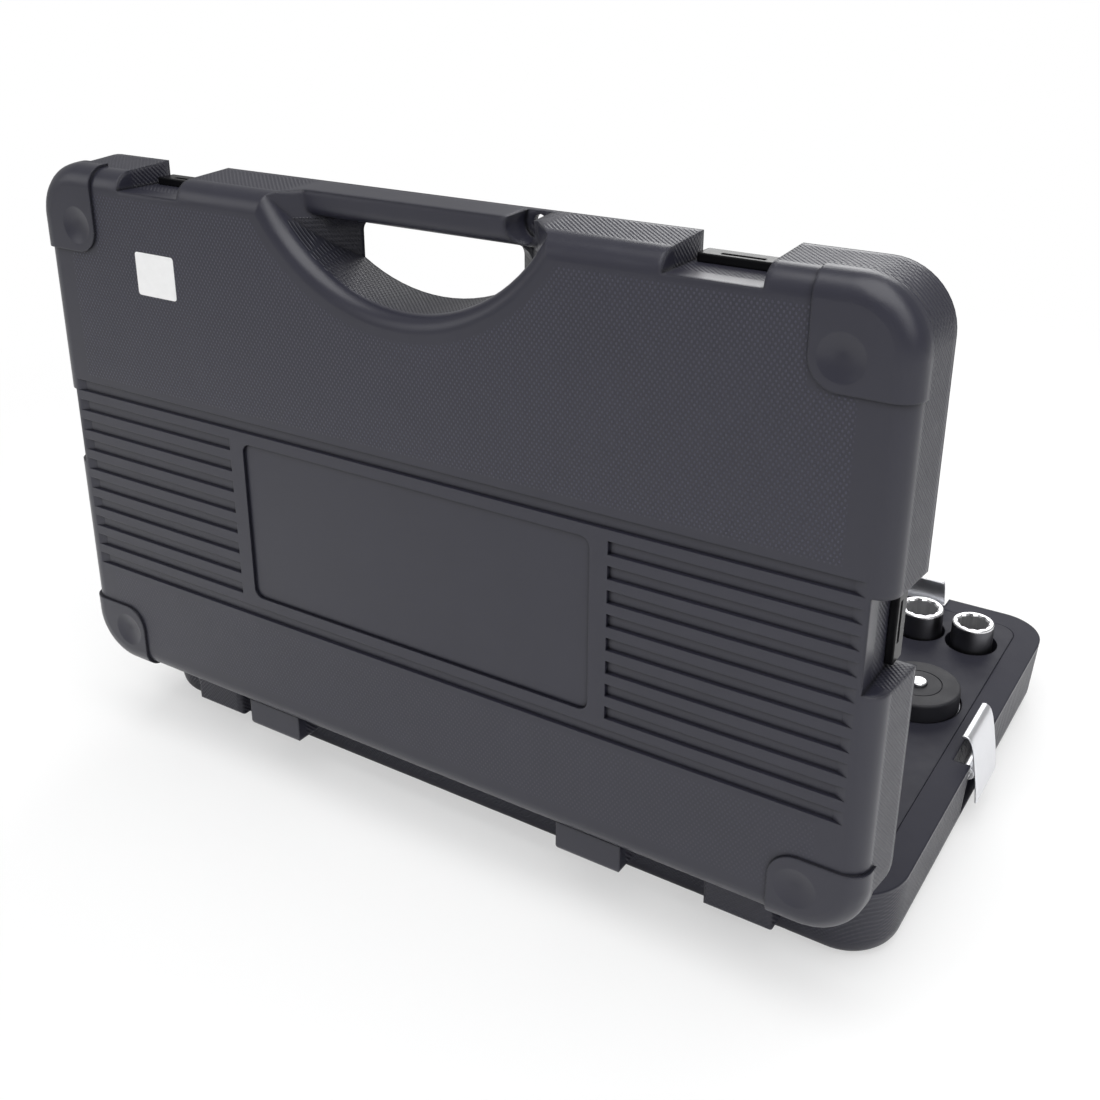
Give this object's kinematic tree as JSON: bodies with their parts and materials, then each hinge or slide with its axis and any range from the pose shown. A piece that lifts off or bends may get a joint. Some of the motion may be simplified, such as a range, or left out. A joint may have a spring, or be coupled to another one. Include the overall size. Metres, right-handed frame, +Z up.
{
  "type": "socket wrench set in case",
  "caption": "Moulded grey carrying case, open, with steel latches, holding a large socket set with a ratchet and extension bars.",
  "frame": {"origin": "centre of the base's underside", "axes": "+Z up, +X along the hinge to the right of someone at the handle, -Y towards the handle"},
  "size_m": [0.577, 0.3984, 0.3974],
  "materials": {
    "case_plastic": "matte",
    "insert_plastic": "matte",
    "gloss_black": "gloss",
    "latch_steel": "satin",
    "pin_steel": "satin",
    "tool_chrome": "gloss",
    "grip_chrome": "satin",
    "dial_black": "matte",
    "gear_steel": "satin",
    "label_paper": "matte"
  },
  "bodies": {
    "case": {"base_shell": "case_plastic", "base_tray": "insert_plastic", "hinge_pins": "pin_steel", "latch_pins": "pin_steel"},
    "lid": {"lid_shell": "case_plastic", "lid_liner": "insert_plastic", "latch_catches": "gloss_black", "blank_label": "label_paper"},
    "front_latch_left": {"front_latch_left": "latch_steel"},
    "front_latch_right": {"front_latch_right": "latch_steel"},
    "side_latch_left": {"side_latch_left": "latch_steel"},
    "side_latch_right": {"side_latch_right": "latch_steel"},
    "socket_19": {"socket_19": "tool_chrome"},
    "socket_21": {"socket_21": "tool_chrome"},
    "socket_22": {"socket_22": "tool_chrome"},
    "socket_30": {"socket_30": "tool_chrome"},
    "socket_27": {"socket_27": "tool_chrome"},
    "socket_46": {"socket_46": "tool_chrome"},
    "socket_41": {"socket_41": "tool_chrome"},
    "socket_38": {"socket_38": "tool_chrome"},
    "socket_36": {"socket_36": "tool_chrome"},
    "socket_34": {"socket_34": "tool_chrome"},
    "socket_32": {"socket_32": "tool_chrome"},
    "socket_24": {"socket_24": "tool_chrome"},
    "extension_long": {"extension_long": "tool_chrome"},
    "extension_short": {"extension_short": "tool_chrome"},
    "ratchet": {"ratchet_head": "tool_chrome", "ratchet_handle": "tool_chrome", "ratchet_grip": "grip_chrome", "cover_plate": "tool_chrome", "cover_screws": "pin_steel"},
    "dial": {"reverse_dial": "dial_black"},
    "pawl": {"pawl": "gear_steel"},
    "drive": {"drive_gear": "gear_steel", "detent_ball": "pin_steel"},
    "button": {"release_button": "tool_chrome"}
  },
  "joints": [
    {"name": "lid_hinge", "type": "hinge", "parent": "case", "child": "lid", "pos_m": [0, 0.176, 0.05], "axis": [-1, 0, 0], "range_deg": [-88, 0]},
    {"name": "front_latch_left_swing", "type": "hinge", "parent": "case", "child": "front_latch_left", "pos_m": [-0.181, -0.1685, 0.041], "axis": [1, 0, 0], "range_deg": [-9, 25]},
    {"name": "front_latch_right_swing", "type": "hinge", "parent": "case", "child": "front_latch_right", "pos_m": [0.181, -0.1685, 0.041], "axis": [1, 0, 0], "range_deg": [-9, 25]},
    {"name": "side_latch_left_swing", "type": "hinge", "parent": "case", "child": "side_latch_left", "pos_m": [-0.2775, 0, 0.041], "axis": [0, -1, 0], "range_deg": [-9, 25]},
    {"name": "side_latch_right_swing", "type": "hinge", "parent": "case", "child": "side_latch_right", "pos_m": [0.2775, 0, 0.041], "axis": [0, 1, 0], "range_deg": [-9, 25]},
    {"name": "socket_19_lift", "type": "slide", "parent": "case", "child": "socket_19", "axis": [0, 0, 1], "range_m": [0, 0.06]},
    {"name": "socket_21_lift", "type": "slide", "parent": "case", "child": "socket_21", "axis": [0, 0, 1], "range_m": [0, 0.06]},
    {"name": "socket_22_lift", "type": "slide", "parent": "case", "child": "socket_22", "axis": [0, 0, 1], "range_m": [0, 0.06]},
    {"name": "socket_30_lift", "type": "slide", "parent": "case", "child": "socket_30", "axis": [0, 0, 1], "range_m": [0, 0.06]},
    {"name": "socket_27_lift", "type": "slide", "parent": "case", "child": "socket_27", "axis": [0, 0, 1], "range_m": [0, 0.06]},
    {"name": "socket_46_lift", "type": "slide", "parent": "case", "child": "socket_46", "axis": [0, 0, 1], "range_m": [0, 0.06]},
    {"name": "socket_41_lift", "type": "slide", "parent": "case", "child": "socket_41", "axis": [0, 0, 1], "range_m": [0, 0.06]},
    {"name": "socket_38_lift", "type": "slide", "parent": "case", "child": "socket_38", "axis": [0, 0, 1], "range_m": [0, 0.06]},
    {"name": "socket_36_lift", "type": "slide", "parent": "case", "child": "socket_36", "axis": [0, 0, 1], "range_m": [0, 0.06]},
    {"name": "socket_34_lift", "type": "slide", "parent": "case", "child": "socket_34", "axis": [0, 0, 1], "range_m": [0, 0.06]},
    {"name": "socket_32_lift", "type": "slide", "parent": "case", "child": "socket_32", "axis": [0, 0, 1], "range_m": [0, 0.06]},
    {"name": "socket_24_lift", "type": "slide", "parent": "case", "child": "socket_24", "axis": [0, 0, 1], "range_m": [0, 0.06]},
    {"name": "extension_long_lift", "type": "slide", "parent": "case", "child": "extension_long", "axis": [0, 0, 1], "range_m": [0, 0.06]},
    {"name": "extension_short_lift", "type": "slide", "parent": "case", "child": "extension_short", "axis": [0, 0, 1], "range_m": [0, 0.06]},
    {"name": "ratchet_lift", "type": "slide", "parent": "case", "child": "ratchet", "axis": [0, 0, 1], "range_m": [0, 0.06]},
    {"name": "dial_turn", "type": "hinge", "parent": "ratchet", "child": "dial", "pos_m": [-0.228, -0.029, 0.05], "axis": [0, 0, 1], "range_deg": [-20, 20]},
    {"name": "pawl_rock", "type": "hinge", "parent": "ratchet", "child": "pawl", "pos_m": [-0.2065, -0.029, 0.05], "axis": [0, 0, 1], "range_deg": [-10, 10]},
    {"name": "drive_spin", "type": "hinge", "parent": "ratchet", "child": "drive", "pos_m": [-0.228, -0.029, 0.05], "axis": [0, 0, 1], "continuous": true},
    {"name": "button_press", "type": "slide", "parent": "ratchet", "child": "button", "axis": [0, 0, -1], "range_m": [0, 0.0025], "stiffness_N_per_m": 300, "springref_m": -0.001}
  ],
  "couplings": [
    {"joint": "pawl_rock", "follows": "dial_turn", "ratio": 0.5}
  ]
}
